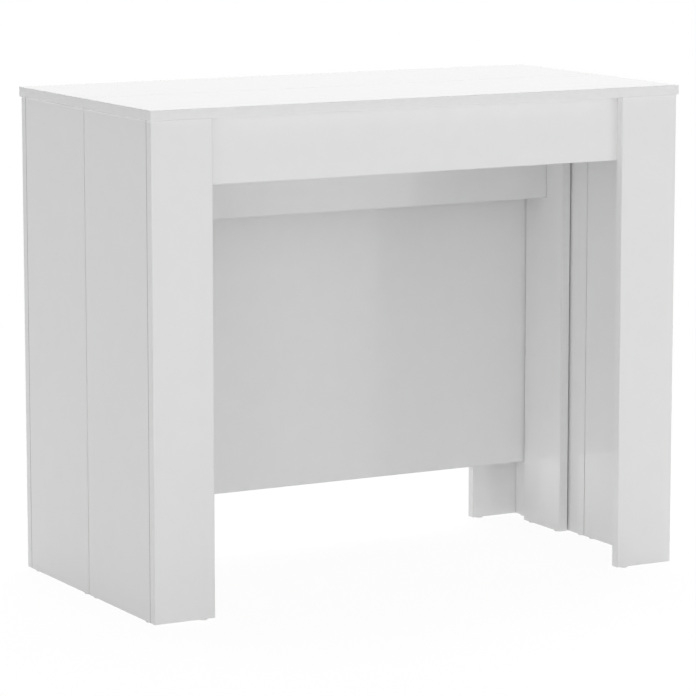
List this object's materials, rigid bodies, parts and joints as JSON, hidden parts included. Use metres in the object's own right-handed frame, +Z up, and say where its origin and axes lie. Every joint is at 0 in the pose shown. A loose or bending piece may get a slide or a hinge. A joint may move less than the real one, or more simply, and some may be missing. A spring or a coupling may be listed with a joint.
{
  "type": "extendable console table",
  "caption": "White board console table, closed, that parts at mid depth: the front half draws out on telescopic aluminium runners and an inner leg frame follows at half the way.",
  "frame": {"origin": "on the floor, in the middle of the closed table's footprint", "axes": "+X to the right seen from the front, along the width; +Y to the rear, so the front half draws out towards -Y; +Z up"},
  "size_m": [0.9, 0.46, 0.75],
  "materials": {
    "white_board": "semi-gloss white melamine facing on chipboard, edges banded to match",
    "aluminium": "satin anodised extrusion",
    "zinc_plated_steel": "bright zinc plating",
    "zinc_alloy": "die-cast zinc alloy",
    "beech": "plain turned beech",
    "white_plastic": "moulded polyethylene"
  },
  "bodies": {
    "rear_half": {"back_panel": "white_board", "left_runner_member_1": "aluminium", "rear_apron": "white_board", "rear_apron_screws": "zinc_plated_steel", "rear_bracket_board_screws": "zinc_plated_steel", "rear_bracket_runner_screws": "zinc_plated_steel", "rear_cam_bolts": "zinc_plated_steel", "rear_cam_locks": "zinc_alloy", "rear_dowels": "beech", "rear_floor_glides": "white_plastic", "rear_left_leg_plate": "white_board", "rear_left_side_panel": "white_board", "rear_right_leg_plate": "white_board", "rear_right_side_panel": "white_board", "rear_runner_brackets": "zinc_plated_steel", "rear_top": "white_board", "right_runner_member_1": "aluminium"},
    "front_half": {"front_apron": "white_board", "front_apron_screws": "zinc_plated_steel", "front_bracket_board_screws": "zinc_plated_steel", "front_bracket_runner_screws": "zinc_plated_steel", "front_cam_bolts": "zinc_plated_steel", "front_cam_locks": "zinc_alloy", "front_dowels": "beech", "front_floor_glides": "white_plastic", "front_left_leg_plate": "white_board", "front_left_side_panel": "white_board", "front_locating_pegs": "white_plastic", "front_right_leg_plate": "white_board", "front_right_side_panel": "white_board", "front_runner_brackets": "zinc_plated_steel", "front_top": "white_board", "left_runner_member_7": "aluminium", "right_runner_member_7": "aluminium"},
    "middle_frame": {"left_runner_member_4": "aluminium", "middle_cam_bolts": "zinc_plated_steel", "middle_cam_locks": "zinc_alloy", "middle_cross_rail": "white_board", "middle_dowels": "beech", "middle_floor_glides": "white_plastic", "middle_left_post": "white_board", "middle_right_post": "white_board", "middle_saddle_board_screws": "zinc_plated_steel", "middle_saddle_brackets": "zinc_plated_steel", "middle_saddle_runner_screws": "zinc_plated_steel", "right_runner_member_4": "aluminium"},
    "left_member_2": {"left_runner_member_2": "aluminium"},
    "left_member_3": {"left_runner_member_3": "aluminium"},
    "left_member_5": {"left_runner_member_5": "aluminium"},
    "left_member_6": {"left_runner_member_6": "aluminium"},
    "right_member_2": {"right_runner_member_2": "aluminium"},
    "right_member_3": {"right_runner_member_3": "aluminium"},
    "right_member_5": {"right_runner_member_5": "aluminium"},
    "right_member_6": {"right_runner_member_6": "aluminium"}
  },
  "joints": [
    {"name": "front_slide", "type": "slide", "parent": "rear_half", "child": "front_half", "axis": [0, -1, 0], "range_m": [0, 1.92]},
    {"name": "middle_frame_slide", "type": "slide", "parent": "rear_half", "child": "middle_frame", "axis": [0, -1, 0], "range_m": [0, 0.96]},
    {"name": "left_member_2_slide", "type": "slide", "parent": "rear_half", "child": "left_member_2", "axis": [0, -1, 0], "range_m": [0, 0.3201]},
    {"name": "left_member_3_slide", "type": "slide", "parent": "rear_half", "child": "left_member_3", "axis": [0, -1, 0], "range_m": [0, 0.6401]},
    {"name": "left_member_5_slide", "type": "slide", "parent": "rear_half", "child": "left_member_5", "axis": [0, -1, 0], "range_m": [0, 1.2801]},
    {"name": "left_member_6_slide", "type": "slide", "parent": "rear_half", "child": "left_member_6", "axis": [0, -1, 0], "range_m": [0, 1.6001]},
    {"name": "right_member_2_slide", "type": "slide", "parent": "rear_half", "child": "right_member_2", "axis": [0, -1, 0], "range_m": [0, 0.3201]},
    {"name": "right_member_3_slide", "type": "slide", "parent": "rear_half", "child": "right_member_3", "axis": [0, -1, 0], "range_m": [0, 0.6401]},
    {"name": "right_member_5_slide", "type": "slide", "parent": "rear_half", "child": "right_member_5", "axis": [0, -1, 0], "range_m": [0, 1.2801]},
    {"name": "right_member_6_slide", "type": "slide", "parent": "rear_half", "child": "right_member_6", "axis": [0, -1, 0], "range_m": [0, 1.6001]}
  ],
  "couplings": [
    {"joint": "middle_frame_slide", "follows": "front_slide", "ratio": 0.5},
    {"joint": "left_member_2_slide", "follows": "front_slide", "ratio": 0.16667},
    {"joint": "left_member_3_slide", "follows": "front_slide", "ratio": 0.33333},
    {"joint": "left_member_5_slide", "follows": "front_slide", "ratio": 0.66667},
    {"joint": "left_member_6_slide", "follows": "front_slide", "ratio": 0.83333},
    {"joint": "right_member_2_slide", "follows": "front_slide", "ratio": 0.16667},
    {"joint": "right_member_3_slide", "follows": "front_slide", "ratio": 0.33333},
    {"joint": "right_member_5_slide", "follows": "front_slide", "ratio": 0.66667},
    {"joint": "right_member_6_slide", "follows": "front_slide", "ratio": 0.83333}
  ]
}
